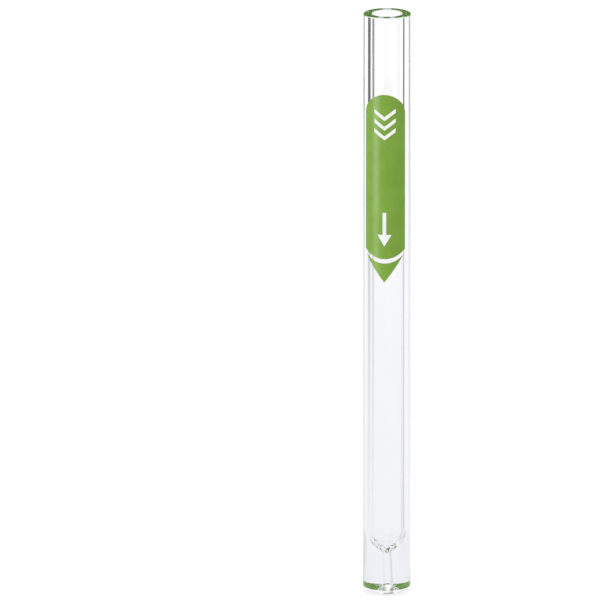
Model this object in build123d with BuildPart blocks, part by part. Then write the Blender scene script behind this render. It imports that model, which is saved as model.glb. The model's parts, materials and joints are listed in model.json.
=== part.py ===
"""Gas chromatograph inlet liner, in millimetres.

One borosilicate glass tube. Its plain bore is drawn in near the outlet end to a narrow neck, and
the neck opens again into a small flare. A label of fired green ink on the outside ends in an
arrowhead that points the way the gas flows, from the inlet end down to the outlet end.

The tube's axis is Z. The outlet face lies at z = 0 with the origin at its centre, and the label
faces -Y.
"""

from build123d import *
import os
from math import radians, sin, tan

# Glass tube
tube_length = 78.5
tube_outer_diameter = 6.3
bore_diameter = 4.0
inlet_edge_rounding = 0.15
bore_mouth_rounding = 0.15
outlet_bevel_width = 1.1
outlet_bevel_height = 0.7
outlet_bevel_inner_rounding = 0.3
outlet_bevel_outer_rounding = 0.3

# Funnel, neck and flare, with their heights measured up from the outlet face
neck_diameter = 0.9
neck_top_height = 5.4
funnel_half_angle = 41.0
funnel_shoulder_rounding = 3.0
neck_entry_rounding = 0.4
flare_diameter = 2.8
flare_depth = 0.85
flare_throat_rounding = 0.25
flare_lip_rounding = 0.12

# Fired ink label: a long panel with a round top, a clear arc, and an arrowhead
ink_thickness = 0.04
panel_wrap_angle = 109.0
panel_inlet_margin = 10.35
panel_side_length = 21.05
panel_foot_sag = 1.2
clear_arc_width = 0.6
arrowhead_wrap_angle = 97.0
arrowhead_length = 2.55
arrowhead_sag = 1.0

# Clear signs left open in the panel: a row of chevrons near its top and a plain arrow near its foot
chevron_count = 3
chevron_pitch = 1.3
chevron_half_width = 1.45
chevron_drop = 1.1
chevron_stroke = 0.55
chevron_top_margin = 1.9
sign_arrow_foot_margin = 1.7
sign_arrow_length = 4.6
sign_arrow_shaft_width = 0.5
sign_arrow_head_width = 1.9
sign_arrow_head_length = 1.6

tube_outer_radius = tube_outer_diameter / 2
bore_radius = bore_diameter / 2
neck_radius = neck_diameter / 2
flare_radius = flare_diameter / 2
funnel_length = (bore_radius - neck_radius) / tan(radians(funnel_half_angle))
funnel_top_height = neck_top_height + funnel_length
ink_outer_radius = tube_outer_radius + ink_thickness


def width_seen_from_front(wrap_angle):
    """Half the width, seen from the front, of ink that wraps this many degrees of the tube."""
    return tube_outer_radius * sin(radians(wrap_angle / 2))


# The tube is half its section, turned about the axis. Its outer edge is bevelled at the outlet
# end, and fire polishing rounded the section's corners
with BuildPart() as liner_tube:
    with BuildSketch(Plane.XZ):
        with BuildLine():
            FilletPolyline(
                (tube_outer_radius - outlet_bevel_width, 0),
                (tube_outer_radius, outlet_bevel_height),
                (tube_outer_radius, tube_length),
                (bore_radius, tube_length),
                (bore_radius, funnel_top_height),
                (neck_radius, neck_top_height),
                (neck_radius, flare_depth),
                (flare_radius, 0),
                radius=(
                    outlet_bevel_inner_rounding,
                    outlet_bevel_outer_rounding,
                    inlet_edge_rounding,
                    bore_mouth_rounding,
                    funnel_shoulder_rounding,
                    neck_entry_rounding,
                    flare_throat_rounding,
                    flare_lip_rounding,
                ),
                close=True,
            )
        make_face()
    revolve(axis=Axis.Z)

# The ink is cut from a thin sleeve that fits the tube's wall
with BuildPart() as ink_sleeve:
    with BuildSketch(Plane.XY):
        Circle(ink_outer_radius)
        Circle(tube_outer_radius, mode=Mode.SUBTRACT)
    extrude(amount=tube_length)

# The panel's outline is drawn as seen from the front, then pressed onto the tube's wall
panel_half_width = width_seen_from_front(panel_wrap_angle)
panel_top_height = tube_length - panel_inlet_margin
panel_shoulder_height = panel_top_height - panel_half_width
panel_corner_height = panel_top_height - panel_side_length
panel_foot_height = panel_corner_height - panel_foot_sag
chevron_field_height = chevron_pitch * (chevron_count - 1) + chevron_drop + chevron_stroke
chevron_field_centre = panel_top_height - chevron_top_margin - chevron_field_height / 2
sign_arrow_tip_height = panel_foot_height + sign_arrow_foot_margin
sign_arrow_neck_height = sign_arrow_tip_height + sign_arrow_head_length
sign_arrow_top_height = sign_arrow_tip_height + sign_arrow_length

with BuildPart() as label_panel:
    with BuildSketch(Plane.XZ):
        with BuildLine():
            ThreePointArc(
                (-panel_half_width, panel_corner_height),
                (0, panel_foot_height),
                (panel_half_width, panel_corner_height),
            )
            Line(
                (panel_half_width, panel_corner_height),
                (panel_half_width, panel_shoulder_height),
            )
            ThreePointArc(
                (panel_half_width, panel_shoulder_height),
                (0, panel_top_height),
                (-panel_half_width, panel_shoulder_height),
            )
            Line(
                (-panel_half_width, panel_shoulder_height),
                (-panel_half_width, panel_corner_height),
            )
        make_face()
        with Locations((0, chevron_field_centre)):
            with GridLocations(0, chevron_pitch, 1, chevron_count):
                Polygon(
                    (0, -(chevron_drop + chevron_stroke) / 2),
                    (chevron_half_width, (chevron_drop - chevron_stroke) / 2),
                    (chevron_half_width, (chevron_drop + chevron_stroke) / 2),
                    (0, (chevron_stroke - chevron_drop) / 2),
                    (-chevron_half_width, (chevron_drop + chevron_stroke) / 2),
                    (-chevron_half_width, (chevron_drop - chevron_stroke) / 2),
                    align=None,
                    mode=Mode.SUBTRACT,
                )
        Polygon(
            (0, sign_arrow_tip_height),
            (sign_arrow_head_width / 2, sign_arrow_neck_height),
            (sign_arrow_shaft_width / 2, sign_arrow_neck_height),
            (sign_arrow_shaft_width / 2, sign_arrow_top_height),
            (-sign_arrow_shaft_width / 2, sign_arrow_top_height),
            (-sign_arrow_shaft_width / 2, sign_arrow_neck_height),
            (-sign_arrow_head_width / 2, sign_arrow_neck_height),
            align=None,
            mode=Mode.SUBTRACT,
        )
    extrude(amount=ink_outer_radius)
    add(ink_sleeve.part, mode=Mode.INTERSECT)

# The arrowhead's straight printed sides look bowed from the front, because they wrap the tube
arrowhead_half_width = width_seen_from_front(arrowhead_wrap_angle)
arrowhead_middle_width = width_seen_from_front(arrowhead_wrap_angle / 2)
arrowhead_top_height = panel_foot_height - clear_arc_width
arrowhead_corner_height = arrowhead_top_height + arrowhead_sag
arrowhead_tip_height = arrowhead_top_height - arrowhead_length
arrowhead_middle_height = (arrowhead_corner_height + arrowhead_tip_height) / 2

with BuildPart() as label_arrowhead:
    with BuildSketch(Plane.XZ):
        with BuildLine():
            ThreePointArc(
                (-arrowhead_half_width, arrowhead_corner_height),
                (0, arrowhead_top_height),
                (arrowhead_half_width, arrowhead_corner_height),
            )
            ThreePointArc(
                (arrowhead_half_width, arrowhead_corner_height),
                (arrowhead_middle_width, arrowhead_middle_height),
                (0, arrowhead_tip_height),
            )
            ThreePointArc(
                (0, arrowhead_tip_height),
                (-arrowhead_middle_width, arrowhead_middle_height),
                (-arrowhead_half_width, arrowhead_corner_height),
            )
        make_face()
    extrude(amount=ink_outer_radius)
    add(ink_sleeve.part, mode=Mode.INTERSECT)

liner_tube.part.label = "liner_tube"
label_panel.part.label = "label_panel"
label_arrowhead.part.label = "label_arrowhead"

os.makedirs("parts", exist_ok=True)
export_step(liner_tube.part, "parts/liner_tube.step")
export_step(label_panel.part, "parts/label_panel.step")
export_step(label_arrowhead.part, "parts/label_arrowhead.step")
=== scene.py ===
"""Looks of a gas chromatograph inlet liner: a clear glass tube with a label of fired green ink."""

import json
import math

import bmesh
import bpy
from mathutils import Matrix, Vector, noise


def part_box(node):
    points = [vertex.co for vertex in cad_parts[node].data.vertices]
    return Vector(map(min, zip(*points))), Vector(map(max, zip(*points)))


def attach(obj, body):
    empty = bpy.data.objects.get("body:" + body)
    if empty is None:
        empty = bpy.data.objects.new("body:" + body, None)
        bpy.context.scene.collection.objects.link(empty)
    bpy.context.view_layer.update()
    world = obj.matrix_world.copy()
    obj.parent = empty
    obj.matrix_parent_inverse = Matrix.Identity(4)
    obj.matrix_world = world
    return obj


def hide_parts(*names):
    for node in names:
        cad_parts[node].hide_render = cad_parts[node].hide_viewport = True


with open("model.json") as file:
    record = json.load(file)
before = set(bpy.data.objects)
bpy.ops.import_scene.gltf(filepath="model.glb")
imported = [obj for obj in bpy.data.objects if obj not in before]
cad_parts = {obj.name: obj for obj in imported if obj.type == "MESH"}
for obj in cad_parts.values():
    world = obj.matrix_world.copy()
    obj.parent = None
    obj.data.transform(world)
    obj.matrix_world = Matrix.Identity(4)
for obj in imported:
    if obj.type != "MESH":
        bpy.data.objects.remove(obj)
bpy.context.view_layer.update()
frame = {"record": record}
scene = bpy.context.scene

# Glass tube
# One length of clear borosilicate tubing, drawn straight. Its outlet end was softened in a flame
# and closed in to a funnel, a narrow neck and a flare. Its outer edge there was bevelled, and the
# flame rounded every corner a little at both ends.
MM = 0.001
mounts = {mount["name"]: mount["dims"] for mount in frame["record"]["mounts"]}
tube_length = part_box("liner_tube")[1].z
tube_radius = mounts["barrel"]["r_mm"] * MM
bore_radius = mounts["sample_bore"]["r_mm"] * MM
neck_radius = mounts["neck_bore"]["r_mm"] * MM
inlet_rounding = 0.15 * MM
outlet_bevel_width = 1.1 * MM
outlet_bevel_height = 0.7 * MM
outlet_inner_rounding = 0.3 * MM
outlet_outer_rounding = 0.3 * MM
neck_top_height = 5.4 * MM
funnel_half_angle = math.radians(41.0)
funnel_top_height = neck_top_height + (bore_radius - neck_radius) / math.tan(funnel_half_angle)
funnel_shoulder_rounding = 3.0 * MM
neck_entry_rounding = 0.4 * MM
flare_radius = 1.4 * MM
flare_depth = 0.85 * MM
flare_throat_rounding = 0.25 * MM
flare_lip_rounding = 0.12 * MM
arc_step = math.radians(3.0)
wall_guard_length = 0.05 * MM
flamed_height = 9.0 * MM
flamed_step = 0.12 * MM
flame_waviness = 0.04
flame_wave_length = 0.7 * MM
flame_wave_shift = Vector((7.0, 1.0, 3.0))
neck_lean = 0.16 * MM
tube_segments = 288


def rounded_section(corners):
    """Points of a closed outline whose corners, each (radius, height, rounding), are rounded."""
    points = []
    for number, (radius, height, rounding) in enumerate(corners):
        corner = Vector((radius, height))
        before = Vector(corners[number - 1][:2])
        after = Vector(corners[(number + 1) % len(corners)][:2])
        way_in = (corner - before).normalized()
        way_out = (after - corner).normalized()
        turn = math.atan2(way_in.cross(way_out), way_in.dot(way_out))
        tangent_length = rounding * math.tan(abs(turn) / 2)
        start = corner - way_in * tangent_length
        outward = Vector((way_in.y, -way_in.x)) * math.copysign(1, turn)
        centre = start - outward * rounding
        steps = max(2, math.ceil(abs(turn) / arc_step))
        points.append(start - way_in * wall_guard_length)
        for step in range(steps + 1):
            angle = turn * step / steps
            turned = Vector((
                outward.x * math.cos(angle) - outward.y * math.sin(angle),
                outward.x * math.sin(angle) + outward.y * math.cos(angle),
            ))
            points.append(centre + turned * rounding)
        points.append(corner + way_out * (tangent_length + wall_guard_length))
    return points


def is_flamed_inside(point):
    """Whether a point of the section is on the inner wall that the flame has shaped."""
    return point.x < bore_radius + wall_guard_length and point.y < flamed_height


def divided_section(points):
    """The outline with more points along the inner wall that the flame has shaped."""
    divided = []
    for number, point in enumerate(points):
        after = points[(number + 1) % len(points)]
        divided.append(point)
        low_end = point if point.y < after.y else after
        if is_flamed_inside(low_end):
            start = point if point.y < flamed_height else Vector((point.x, flamed_height))
            count = math.ceil((after - start).length / flamed_step)
            for step in range(0 if start is not point else 1, count):
                divided.append(start.lerp(after, step / count))
    return divided


def turned_mesh(name, section, segments):
    """A closed mesh: the section turned about the Z axis, a little uneven where it was flamed."""
    vertices = []
    for point in section:
        for segment in range(segments):
            angle = 2 * math.pi * segment / segments
            around = Vector((math.cos(angle), math.sin(angle), 0))
            place = around * point.x + Vector((0, 0, point.y))
            if is_flamed_inside(point):
                fade = min(1, (flamed_height - point.y) / MM)
                wave = noise.noise(place / flame_wave_length + flame_wave_shift)
                place += around * point.x * flame_waviness * fade * wave
                place.x += neck_lean * max(0, 1 - point.y / neck_top_height)
            vertices.append(place)
    faces = []
    for row in range(len(section)):
        above = (row + 1) % len(section)
        for segment in range(segments):
            beside = (segment + 1) % segments
            faces.append((
                row * segments + segment,
                row * segments + beside,
                above * segments + beside,
                above * segments + segment,
            ))
    mesh = bpy.data.meshes.new(name)
    mesh.from_pydata(vertices, [], faces)
    mesh.shade_smooth()
    mesh.update()
    return mesh


tube_section = rounded_section([
    (tube_radius - outlet_bevel_width, 0.0, outlet_inner_rounding),
    (tube_radius, outlet_bevel_height, outlet_outer_rounding),
    (tube_radius, tube_length, inlet_rounding),
    (bore_radius, tube_length, inlet_rounding),
    (bore_radius, funnel_top_height, funnel_shoulder_rounding),
    (neck_radius, neck_top_height, neck_entry_rounding),
    (neck_radius, flare_depth, flare_throat_rounding),
    (flare_radius, 0.0, flare_lip_rounding),
])
glass_mesh = turned_mesh("glass_tube", divided_section(tube_section), tube_segments)
glass_tube = bpy.data.objects.new("glass_tube", glass_mesh)
scene.collection.objects.link(glass_tube)


def put_node(tree, kind, sockets=None, **settings):
    """A shader node with its settings made and its named or numbered sockets set or linked."""
    made = tree.nodes.new("ShaderNode" + kind)
    for name, value in settings.items():
        setattr(made, name, value)
    for key, value in (sockets or {}).items():
        if isinstance(value, bpy.types.NodeSocket):
            tree.links.new(value, made.inputs[key])
        else:
            made.inputs[key].default_value = value
    return made


def put_math(tree, operation, first, second=0.0, clamped=False):
    """The result of one step of shader arithmetic."""
    step = put_node(tree, "Math", {0: first, 1: second}, operation=operation, use_clamp=clamped)
    return step.outputs[0]


def put_range(tree, value, from_low, from_high, to_low, to_high):
    """A value stretched from one range to another, and kept inside it."""
    spread = put_node(tree, "MapRange", {
        "Value": value,
        "From Min": from_low,
        "From Max": from_high,
        "To Min": to_low,
        "To Max": to_high,
    })
    return spread.outputs["Result"]


def put_blend(tree, amount, first, second):
    """A colour between two colours."""
    blend = put_node(tree, "Mix", data_type="RGBA")
    colour_inputs = [socket for socket in blend.inputs if socket.type == "RGBA"]
    for socket, value in zip([blend.inputs["Factor"], *colour_inputs], (amount, first, second)):
        if isinstance(value, bpy.types.NodeSocket):
            tree.links.new(value, socket)
        else:
            socket.default_value = value
    return next(socket for socket in blend.outputs if socket.type == "RGBA")


def mottle_group():
    """A node group that puts out a soft, uneven mask, used by the glass and the ink."""
    group = bpy.data.node_groups.new("mottle", "ShaderNodeTree")
    for label in ("Grain Size", "Length Along Tube", "Detail"):
        group.interface.new_socket(label, in_out="INPUT", socket_type="NodeSocketFloat")
    group.interface.new_socket("Amount", in_out="OUTPUT", socket_type="NodeSocketFloat")
    given = group.nodes.new("NodeGroupInput").outputs
    result = group.nodes.new("NodeGroupOutput")
    coords = put_node(group, "TexCoord").outputs["Object"]
    squeeze = put_node(group, "CombineXYZ", {
        "X": 1.0,
        "Y": 1.0,
        "Z": put_math(group, "DIVIDE", 1.0, given["Length Along Tube"]),
    })
    scaled = put_node(group, "VectorMath", {0: coords, 1: squeeze.outputs[0]}, operation="MULTIPLY")
    pattern = put_node(group, "TexNoise", {
        "Vector": scaled.outputs[0],
        "Scale": put_math(group, "DIVIDE", 1.0, given["Grain Size"]),
        "Detail": given["Detail"],
    })
    group.links.new(pattern.outputs[0], result.inputs["Amount"])
    return group


def put_mottle(tree, grain_size, length_along_tube=1.0, detail=2.0):
    """The mottle group placed in a material with its own values."""
    placed = put_node(tree, "Group", node_tree=mottle)
    placed.inputs["Grain Size"].default_value = grain_size
    placed.inputs["Length Along Tube"].default_value = length_along_tube
    placed.inputs["Detail"].default_value = detail
    return placed.outputs["Amount"]


mottle = mottle_group()

clear_colour = (1.0, 1.0, 1.0, 1.0)
# Painted shade: the glass's colour turns grey where it is seen edge-on, which darkens its edges as
# seen
painted_rim_shade_colour = (0.62, 0.64, 0.68, 1.0)
painted_rim_shade_starts, painted_rim_shade_ends = 0.62, 0.95
glass_ior = 1.473
draw_line_width = 0.25 * MM
draw_line_length = 60.0
draw_line_depth = 0.0006 * MM
haze_size = 6.0 * MM
haze_starts, haze_ends = 0.58, 0.75
haze_roughness = 0.03

glass_material = bpy.data.materials.new("clear_borosilicate")
glass_material.use_nodes = True
tree = glass_material.node_tree
shader = tree.nodes["Principled BSDF"]
shader.inputs["IOR"].default_value = glass_ior
shader.inputs["Transmission Weight"].default_value = 1.0
# The painted rim shade is blended into the glass's colour by how edge-on the glass is seen
facing = put_node(tree, "LayerWeight").outputs["Facing"]
painted_rim_shade = put_range(tree, facing, painted_rim_shade_starts, painted_rim_shade_ends, 0.0, 1.0)
tree.links.new(put_blend(tree, painted_rim_shade, clear_colour, painted_rim_shade_colour), shader.inputs["Base Color"])
haze = put_range(tree, put_mottle(tree, haze_size), haze_starts, haze_ends, 0.0, haze_roughness)
tree.links.new(haze, shader.inputs["Roughness"])
draw_lines = put_mottle(tree, draw_line_width, draw_line_length)
draw_bump = put_node(tree, "Bump", {"Height": draw_lines, "Distance": draw_line_depth})
tree.links.new(draw_bump.outputs["Normal"], shader.inputs["Normal"])
glass_mesh.materials.append(glass_material)

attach(glass_tube, "root")
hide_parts("liner_tube")

# Label panel
# A long panel of green ceramic ink with a round top, printed round the outside of the tube and
# fired into it. Three chevrons and a plain arrow that point to the outlet are left open in it.
ink_sink = 0.01 * MM
ink_thickness = 0.04 * MM
ink_cut_angle = 1
ink_widest_angle = 60
weld_distance = 0.0001 * MM
cut_tolerance = 0.00001 * MM
panel_wrap_angle = 109.0
panel_inlet_margin = 10.35 * MM
panel_side_length = 21.05 * MM
panel_foot_sag = 1.2 * MM
panel_half_width = tube_radius * math.sin(math.radians(panel_wrap_angle) / 2)
panel_top_height = tube_length - panel_inlet_margin
panel_shoulder_height = panel_top_height - panel_half_width
panel_corner_height = panel_top_height - panel_side_length
panel_foot_height = panel_corner_height - panel_foot_sag
chevron_count = 3
chevron_pitch = 1.3 * MM
chevron_half_width = 1.45 * MM
chevron_drop = 1.1 * MM
chevron_stroke = 0.55 * MM
chevron_top_margin = 1.9 * MM
chevron_field_height = chevron_pitch * (chevron_count - 1) + chevron_drop + chevron_stroke
chevron_field_centre = panel_top_height - chevron_top_margin - chevron_field_height / 2
sign_arrow_foot_margin = 1.7 * MM
sign_arrow_length = 4.6 * MM
sign_arrow_head_length = 1.6 * MM
sign_arrow_half_shaft = 0.25 * MM
sign_arrow_half_head = 0.95 * MM
sign_arrow_tip_height = panel_foot_height + sign_arrow_foot_margin
sign_arrow_neck_height = sign_arrow_tip_height + sign_arrow_head_length
sign_arrow_top_height = sign_arrow_tip_height + sign_arrow_length
arc_points = 40


def arc(start, middle, end):
    """Points of the circular arc from start through middle, without its end."""
    start, middle, end = Vector(start), Vector(middle), Vector(end)
    first, second = middle - start, end - start
    cross = 2 * first.cross(second)
    centre = start + Vector((
        (second.y * first.length_squared - first.y * second.length_squared) / cross,
        (first.x * second.length_squared - second.x * first.length_squared) / cross,
    ))
    arm = start - centre
    reach = end - centre
    sweep = math.atan2(arm.cross(reach), arm.dot(reach))
    if sweep * cross < 0:
        sweep += math.copysign(2 * math.pi, cross)
    found = []
    for step in range(arc_points):
        angle = sweep * step / arc_points
        found.append(centre + Vector((
            arm.x * math.cos(angle) - arm.y * math.sin(angle),
            arm.x * math.sin(angle) + arm.y * math.cos(angle),
        )))
    return found


def flat_print(name, loops):
    """A flat mesh of the print, filled between its outline and its openings."""
    drawing = bpy.data.curves.new(name, "CURVE")
    drawing.dimensions = "2D"
    drawing.fill_mode = "BOTH"
    for loop in loops:
        spline = drawing.splines.new("POLY")
        spline.points.add(len(loop) - 1)
        for point, place in zip(spline.points, loop):
            point.co = (place[0], place[1], 0, 1)
        spline.use_cyclic_u = True
    holder = bpy.data.objects.new(name, drawing)
    flat = bpy.data.meshes.new_from_object(holder)
    bpy.data.objects.remove(holder)
    bpy.data.curves.remove(drawing)
    return flat


def ink_mesh(name, outline, openings):
    """A thin layer on the tube's wall, from an outline and openings drawn as seen from the front."""
    flat = flat_print(name, [outline, *openings])
    sheet = bmesh.new()
    sheet.from_mesh(flat)
    bpy.data.meshes.remove(flat)
    bmesh.ops.remove_doubles(sheet, verts=sheet.verts, dist=weld_distance)
    for degrees in range(-ink_widest_angle, ink_widest_angle + 1, ink_cut_angle):
        bmesh.ops.bisect_plane(
            sheet,
            geom=[*sheet.verts, *sheet.edges, *sheet.faces],
            plane_co=(tube_radius * math.sin(math.radians(degrees)), 0, 0),
            plane_no=(1, 0, 0),
            dist=cut_tolerance,
        )
    bmesh.ops.recalc_face_normals(sheet, faces=sheet.faces)
    if sheet.faces[0].normal.z < 0:
        bmesh.ops.reverse_faces(sheet, faces=sheet.faces)
    flat_places = {vertex: vertex.co.copy() for vertex in sheet.verts}
    copied = bmesh.ops.duplicate(sheet, geom=[*sheet.verts, *sheet.edges, *sheet.faces])
    inner_of = {old: new for old, new in copied["vert_map"].items() if old in flat_places}
    rims = [edge for edge in sheet.edges if edge.is_boundary and edge.verts[0] in flat_places]
    for edge in rims:
        for loop in edge.link_faces[0].loops:
            if loop.edge == edge:
                first, second = loop.vert, loop.link_loop_next.vert
        sheet.faces.new((second, first, inner_of[first], inner_of[second]))
    underside = [face for face in copied["geom"] if isinstance(face, bmesh.types.BMFace)]
    bmesh.ops.reverse_faces(sheet, faces=underside)
    for face in underside:
        face.material_index = 1
    for vertex, place in flat_places.items():
        angle = math.asin(place.x / tube_radius)
        outward = Vector((math.sin(angle), -math.cos(angle), 0))
        height = Vector((0, 0, place.y))
        vertex.co = outward * (tube_radius + ink_thickness) + height
        inner_of[vertex].co = outward * (tube_radius - ink_sink) + height
    for edge in rims:
        edge.smooth = False
    for face in sheet.faces:
        face.smooth = True
    mesh = bpy.data.meshes.new(name)
    sheet.to_mesh(mesh)
    sheet.free()
    return mesh


panel_outline = [
    *arc((-panel_half_width, panel_corner_height), (0, panel_foot_height),
         (panel_half_width, panel_corner_height)),
    (panel_half_width, panel_corner_height),
    *arc((panel_half_width, panel_shoulder_height), (0, panel_top_height),
         (-panel_half_width, panel_shoulder_height)),
    (-panel_half_width, panel_shoulder_height),
]
panel_openings = []
for number in range(chevron_count):
    middle = chevron_field_centre + chevron_pitch * (number - (chevron_count - 1) / 2)
    panel_openings.append([
        (0, middle - (chevron_drop + chevron_stroke) / 2),
        (chevron_half_width, middle + (chevron_drop - chevron_stroke) / 2),
        (chevron_half_width, middle + (chevron_drop + chevron_stroke) / 2),
        (0, middle + (chevron_stroke - chevron_drop) / 2),
        (-chevron_half_width, middle + (chevron_drop + chevron_stroke) / 2),
        (-chevron_half_width, middle + (chevron_drop - chevron_stroke) / 2),
    ])
panel_openings.append([
    (0, sign_arrow_tip_height),
    (sign_arrow_half_head, sign_arrow_neck_height),
    (sign_arrow_half_shaft, sign_arrow_neck_height),
    (sign_arrow_half_shaft, sign_arrow_top_height),
    (-sign_arrow_half_shaft, sign_arrow_top_height),
    (-sign_arrow_half_shaft, sign_arrow_neck_height),
    (-sign_arrow_half_head, sign_arrow_neck_height),
])
panel_mesh = ink_mesh("ink_panel", panel_outline, panel_openings)
ink_panel = bpy.data.objects.new("ink_panel", panel_mesh)
scene.collection.objects.link(ink_panel)

ink_green = (0.151, 0.308, 0.012, 1.0)
ink_green_thin = (0.181, 0.354, 0.022, 1.0)
ink_cloud_size, ink_cloud_detail = 2.4 * MM, 3.0
mottle_low, mottle_high = 0.3, 0.7
ink_grain_size = 0.10 * MM
ink_smoothest, ink_roughest = 0.28, 0.39
ink_grain_depth = 0.0012 * MM
# Painted light: the underside is a copy of the ink's green about twice as light, and it glows a
# little
painted_light_underside_green = (0.30, 0.60, 0.07, 1.0)
painted_light_underside_green_thin = (0.36, 0.66, 0.12, 1.0)
underside_roughness = 0.6
painted_glow_through_ink = (0.12, 0.42, 0.01, 1.0)
painted_glow_through_ink_strength = 0.12

ink_material = bpy.data.materials.new("green_fired_ink")
ink_material.use_nodes = True
tree = ink_material.node_tree
shader = tree.nodes["Principled BSDF"]
cloud_mottle = put_mottle(tree, ink_cloud_size, detail=ink_cloud_detail)
clouds = put_range(tree, cloud_mottle, mottle_low, mottle_high, 0.0, 1.0)
grain = put_mottle(tree, ink_grain_size)
tree.links.new(put_blend(tree, clouds, ink_green, ink_green_thin), shader.inputs["Base Color"])
gloss = put_range(tree, grain, mottle_low, mottle_high, ink_smoothest, ink_roughest)
tree.links.new(gloss, shader.inputs["Roughness"])
grain_bump = put_node(tree, "Bump", {"Height": grain, "Distance": ink_grain_depth})
tree.links.new(grain_bump.outputs["Normal"], shader.inputs["Normal"])

underside_material = bpy.data.materials.new("green_ink_underside")
underside_material.use_nodes = True
tree = underside_material.node_tree
shader = tree.nodes["Principled BSDF"]
shader.inputs["Roughness"].default_value = underside_roughness
shader.inputs["Specular IOR Level"].default_value = 0.0
# A painted glow on the ink's underside
shader.inputs["Emission Color"].default_value = painted_glow_through_ink
shader.inputs["Emission Strength"].default_value = painted_glow_through_ink_strength
cloud_mottle = put_mottle(tree, ink_cloud_size, detail=ink_cloud_detail)
clouds = put_range(tree, cloud_mottle, mottle_low, mottle_high, 0.0, 1.0)
tree.links.new(
    put_blend(tree, clouds, painted_light_underside_green, painted_light_underside_green_thin),
    shader.inputs["Base Color"],
)
for material in (ink_material, underside_material):
    ink_panel.data.materials.append(material)

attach(ink_panel, "root")
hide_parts("label_panel")

# Label arrowhead
# The same fired ink, printed under the panel across a clear arc. Its straight sides look bowed
# from the front, because they wrap the tube, and it points to the outlet.
arrowhead_wrap_angle = 97.0
arrowhead_length = 2.55 * MM
arrowhead_sag = 1.0 * MM
clear_arc_width = 0.6 * MM
arrowhead_half_width = tube_radius * math.sin(math.radians(arrowhead_wrap_angle) / 2)
arrowhead_middle_width = tube_radius * math.sin(math.radians(arrowhead_wrap_angle) / 4)
arrowhead_top_height = panel_foot_height - clear_arc_width
arrowhead_corner_height = arrowhead_top_height + arrowhead_sag
arrowhead_tip_height = arrowhead_top_height - arrowhead_length
arrowhead_middle_height = (arrowhead_corner_height + arrowhead_tip_height) / 2
left_corner = (-arrowhead_half_width, arrowhead_corner_height)
right_corner = (arrowhead_half_width, arrowhead_corner_height)
tip = (0, arrowhead_tip_height)
arrowhead_outline = [
    *arc(right_corner, (0, arrowhead_top_height), left_corner),
    *arc(left_corner, (-arrowhead_middle_width, arrowhead_middle_height), tip),
    *arc(tip, (arrowhead_middle_width, arrowhead_middle_height), right_corner),
]
arrowhead_mesh = ink_mesh("ink_arrowhead", arrowhead_outline, [])
ink_arrowhead = bpy.data.objects.new("ink_arrowhead", arrowhead_mesh)
scene.collection.objects.link(ink_arrowhead)
for material in (ink_material, underside_material):
    ink_arrowhead.data.materials.append(material)

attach(ink_arrowhead, "root")
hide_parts("label_arrowhead")

# Studio light
# A white tent lights the liner evenly from all round. Black cards, which show only in and through
# the glass and on the ink's gloss, draw its dark lines, as in a photographer's tent. A strip lamp
# on the left lights only the ink.
tent_white = (1.0, 1.0, 1.0, 1.0)
light_kept_from_matt = 0.25

# Each look is a side that the liner is seen from: its azimuth and its cards' rise, in degrees
main_look = (6.5, -14)
looks = (main_look, (225, -14), (45, -25), (90, -3), (0, -3))

# Each card: its turn from the look and its half width, in degrees, and its most bounces
left_card = (-38.5, 15.5, 5.5)
right_card = (52.6, 6.9, 4.5)
outline_card = (73, 18, 3.5)
cards = (left_card, right_card, outline_card)
card_half_height = 4
card_soft_side, card_soft_end = 4, 2
card_black = 0.93

# The ink and the inlet's edge mirror the hood, and the ceiling's cards show at the outlet. Each of
# these cards is a rise and a half height, in degrees
hood_rise, hood_half_height, hood_soft, hood_black = 21, 19, 4, 0.93
ceiling_cards = ((36, 8), (90, 34))
ceiling_soft, ceiling_black = 4, 0.93
fewest_ceiling_bounces = 3.5
fewest_matt_bounces = 0.5

world = bpy.data.worlds.new("white_tent")
scene.world = world
world.use_nodes = True
tree = world.node_tree
tent = tree.nodes["Background"]
tent.inputs["Color"].default_value = tent_white
direction = put_node(tree, "SeparateXYZ", {0: put_node(tree, "TexCoord").outputs["Generated"]})
azimuth = put_math(tree, "ARCTAN2", direction.outputs["X"], direction.outputs["Y"])
rise = put_math(tree, "ARCSINE", direction.outputs["Z"])
path = put_node(tree, "LightPath").outputs


def put_band(tree, value, centre, half_width, soft):
    """1 within half_width degrees of the centre, falling to 0 over soft degrees."""
    off = put_math(tree, "SUBTRACT", value, math.radians(centre))
    wrapped = put_node(tree, "Math", {0: off, 1: math.pi, 2: -math.pi}, operation="WRAP").outputs[0]
    away = put_math(tree, "ABSOLUTE", wrapped)
    inside = put_math(tree, "SUBTRACT", math.radians(half_width + soft / 2), away)
    return put_math(tree, "DIVIDE", inside, math.radians(soft), clamped=True)


light_past_cards = 1.0
for look_azimuth, look_rise in looks:
    upright = put_band(tree, rise, look_rise, card_half_height, card_soft_end)
    for card_turn, half_width, most_bounces in cards:
        across = put_band(tree, azimuth, card_turn - look_azimuth, half_width, card_soft_side)
        card = put_math(tree, "MULTIPLY", put_math(tree, "MULTIPLY", across, upright), card_black)
        reached = put_math(tree, "LESS_THAN", path["Ray Depth"], most_bounces)
        card = put_math(tree, "MULTIPLY", card, reached)
        left_over = put_math(tree, "SUBTRACT", 1.0, card)
        light_past_cards = put_math(tree, "MULTIPLY", light_past_cards, left_over)
cards_seen = put_math(tree, "SUBTRACT", 1.0, light_past_cards)
seen_through = path["Is Transmission Ray"]
first_pass = put_math(tree, "LESS_THAN", path["Diffuse Depth"], fewest_matt_bounces)
seen_first = put_math(tree, "MULTIPLY", seen_through, first_pass)
card_shade = put_math(tree, "MULTIPLY", seen_first, cards_seen)
not_through = put_math(tree, "SUBTRACT", 1.0, seen_through)
mirrored = put_math(tree, "MULTIPLY", path["Is Glossy Ray"], not_through)
hood = put_band(tree, rise, hood_rise, hood_half_height, hood_soft)
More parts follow.
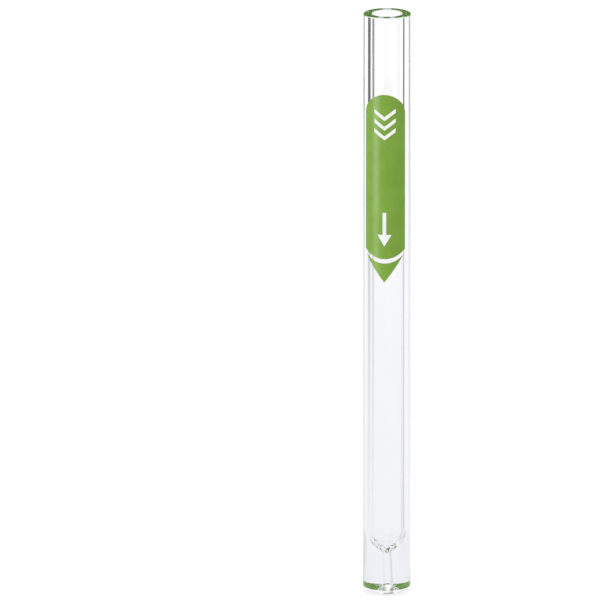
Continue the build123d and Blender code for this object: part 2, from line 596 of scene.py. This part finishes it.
hood_seen = put_math(tree, "MULTIPLY", mirrored, hood)
hood_shade = put_math(tree, "MULTIPLY", hood_seen, hood_black)
bent_far = put_math(tree, "GREATER_THAN", path["Ray Depth"], fewest_ceiling_bounces)
bent_first = put_math(tree, "MULTIPLY", seen_first, bent_far)
ceiling = 0.0
for card_rise, half_height in ceiling_cards:
    card = put_band(tree, rise, card_rise, half_height, ceiling_soft)
    ceiling = put_math(tree, "ADD", ceiling, card)
ceiling_seen = put_math(tree, "MULTIPLY", ceiling, bent_first)
ceiling_shade = put_math(tree, "MULTIPLY", ceiling_seen, ceiling_black)
seen_clearly = put_math(tree, "MAXIMUM", path["Is Glossy Ray"], seen_through)
seen_clearly = put_math(tree, "MAXIMUM", seen_clearly, path["Is Camera Ray"])
lights_matt = put_math(tree, "SUBTRACT", 1.0, seen_clearly)
matt_shade = put_math(tree, "MULTIPLY", lights_matt, light_kept_from_matt)
shade = put_math(tree, "ADD", put_math(tree, "ADD", card_shade, hood_shade), ceiling_shade)
shade = put_math(tree, "ADD", shade, matt_shade)
tree.links.new(put_math(tree, "SUBTRACT", 1.0, shade, clamped=True), tent.inputs["Strength"])

lamp_azimuth = math.radians(-137)
lamp_distance = 0.16
lamp_height = 0.0355
lamp_width, lamp_tall = 0.075, 0.053
lamp_power = 0.0725
strip_light = bpy.data.lights.new("strip_lamp", "AREA")
strip_light.shape = "RECTANGLE"
strip_light.size = lamp_width
strip_light.size_y = lamp_tall
strip_light.energy = lamp_power
strip_lamp = bpy.data.objects.new("strip_lamp", strip_light)
lamp_way = Vector((math.cos(lamp_azimuth), math.sin(lamp_azimuth), 0))
strip_lamp.location = lamp_way * lamp_distance + Vector((0, 0, lamp_height))
strip_lamp.rotation_mode = "QUATERNION"
strip_lamp.rotation_quaternion = lamp_way.to_track_quat("Z", "Y")
strip_lamp.visible_camera = False
strip_lamp.visible_transmission = False
scene.collection.objects.link(strip_lamp)
lit_pieces = bpy.data.collections.new("lit_by_strip_lamp")
for piece in (ink_panel, ink_arrowhead):
    lit_pieces.objects.link(piece)
strip_lamp.light_linking.receiver_collection = lit_pieces

# Floor
# A plain white sheet. It shows the liner's soft shadow, and seen through the glass it gives the
# lower part of the tube its pale tint, which thins out with the distance from the liner.
floor_radius = 1.5
floor_segments = 96
floor_glow, floor_white = 0.54, (0.69, 0.69, 0.69, 1.0)
tint_reach = 0.28
tint_fall = 0.35
tint_near, tint_far = (0.865, 0.875, 0.92, 1.0), (0.93, 0.93, 0.96, 1.0)
foot_reach = 0.04
# Each painted shade in the tint that shows only through the glass: its turn from the main look, half
# width and soft edge, in degrees, its darkness and how far out it reaches. The last two darken the
# tube's sides near its foot.
painted_floor_shades = (
    (52, 10, 10, 0.12, tint_reach),
    (66, 20, 12, 0.12, tint_reach),
    (75, 45, 60, 0.12, foot_reach),
    (-75, 45, 60, 0.07, foot_reach),
)
floor_mesh = bpy.data.meshes.new("floor")
disc = bmesh.new()
bmesh.ops.create_circle(disc, cap_ends=True, segments=floor_segments, radius=floor_radius)
disc.to_mesh(floor_mesh)
disc.free()
floor = bpy.data.objects.new("floor", floor_mesh)
scene.collection.objects.link(floor)

floor_material = bpy.data.materials.new("white_sheet")
floor_material.use_nodes = True
tree = floor_material.node_tree
tree.nodes.clear()
result = put_node(tree, "OutputMaterial")
path = put_node(tree, "LightPath").outputs
sheet_matt = put_node(tree, "BsdfDiffuse", {"Color": floor_white}).outputs[0]
sheet_glow = put_node(tree, "Emission", {"Color": tent_white, "Strength": floor_glow}).outputs[0]
sheet_seen = put_node(tree, "AddShader", {0: sheet_matt, 1: sheet_glow}).outputs[0]
floor_place = put_node(tree, "TexCoord").outputs["Object"]
from_middle = put_node(tree, "VectorMath", {0: floor_place}, operation="LENGTH").outputs["Value"]
reach_used = put_math(tree, "DIVIDE", from_middle, tint_reach)
nearness = put_math(tree, "SUBTRACT", 1.0, reach_used, clamped=True)
flat = put_node(tree, "SeparateXYZ", {0: floor_place}).outputs
floor_azimuth = put_math(tree, "ARCTAN2", flat["X"], flat["Y"])
tint_strength = 1.0
# Painted shade: wedges of the tint are darkened, which draws dark lines in the glass
for shade_turn, half_width, soft, darkness, reach in painted_floor_shades:
    across = put_band(tree, floor_azimuth, shade_turn - main_look[0], half_width, soft)
    close = put_range(tree, from_middle, 0.0, reach, darkness, 0.0)
    shade = put_math(tree, "MULTIPLY", across, close)
    tint_strength = put_math(tree, "SUBTRACT", tint_strength, shade)
tint = put_node(tree, "Emission", {
    "Color": put_blend(tree, nearness, tint_far, tint_near),
    "Strength": tint_strength,
}).outputs[0]
open_air = put_node(tree, "BsdfTransparent").outputs[0]
veil = put_node(
    tree, "MixShader", {0: put_math(tree, "POWER", nearness, tint_fall), 1: open_air, 2: tint}
).outputs[0]
floor_shader = put_node(
    tree, "MixShader", {0: path["Is Transmission Ray"], 1: sheet_seen, 2: veil}
)
tree.links.new(floor_shader.outputs[0], result.inputs["Surface"])
floor_mesh.materials.append(floor_material)

# Camera
# It stands far off, a little above the liner and a few degrees to the right of the label's
# middle, so that the tube is seen almost without perspective, right of the picture's centre.
sensor_width = 36
frame_px = 600
px_per_mm = 7.565
view_azimuth = math.radians(6.5)
view_rise = math.radians(13.6)
view_distance = 3.0
liner_right_of_centre_px = 86.9
liner_below_centre_px = 2.6
far_clip = 10
camera_data = bpy.data.cameras.new("camera")
camera_data.sensor_width = sensor_width
camera_data.lens = px_per_mm / MM * view_distance * sensor_width / frame_px
camera_data.clip_end = far_clip
camera = bpy.data.objects.new("camera", camera_data)
scene.collection.objects.link(camera)
scene.camera = camera
towards = Vector((
    math.sin(view_azimuth) * math.cos(view_rise),
    -math.cos(view_azimuth) * math.cos(view_rise),
    math.sin(view_rise),
))
right = Vector((math.cos(view_azimuth), math.sin(view_azimuth), 0))
up = towards.cross(right)
px = MM / px_per_mm
aim = Vector((0, 0, tube_length / 2))
aim += up * liner_below_centre_px * px - right * liner_right_of_centre_px * px
camera.location = aim + towards * view_distance
camera.rotation_mode = "QUATERNION"
camera.rotation_quaternion = towards.to_track_quat("Z", "Y")

# Light that is caught in the tube's wall bounces many times on its way down to the label or the
# outlet end, so the glass needs far more bounces than usual.
wall_bounces = 160
through_bounces = 24
matt_bounces = 3
scene.cycles.max_bounces = wall_bounces
scene.cycles.glossy_bounces = wall_bounces
scene.cycles.transmission_bounces = through_bounces
scene.cycles.diffuse_bounces = matt_bounces
scene.view_settings.view_transform = "Standard"
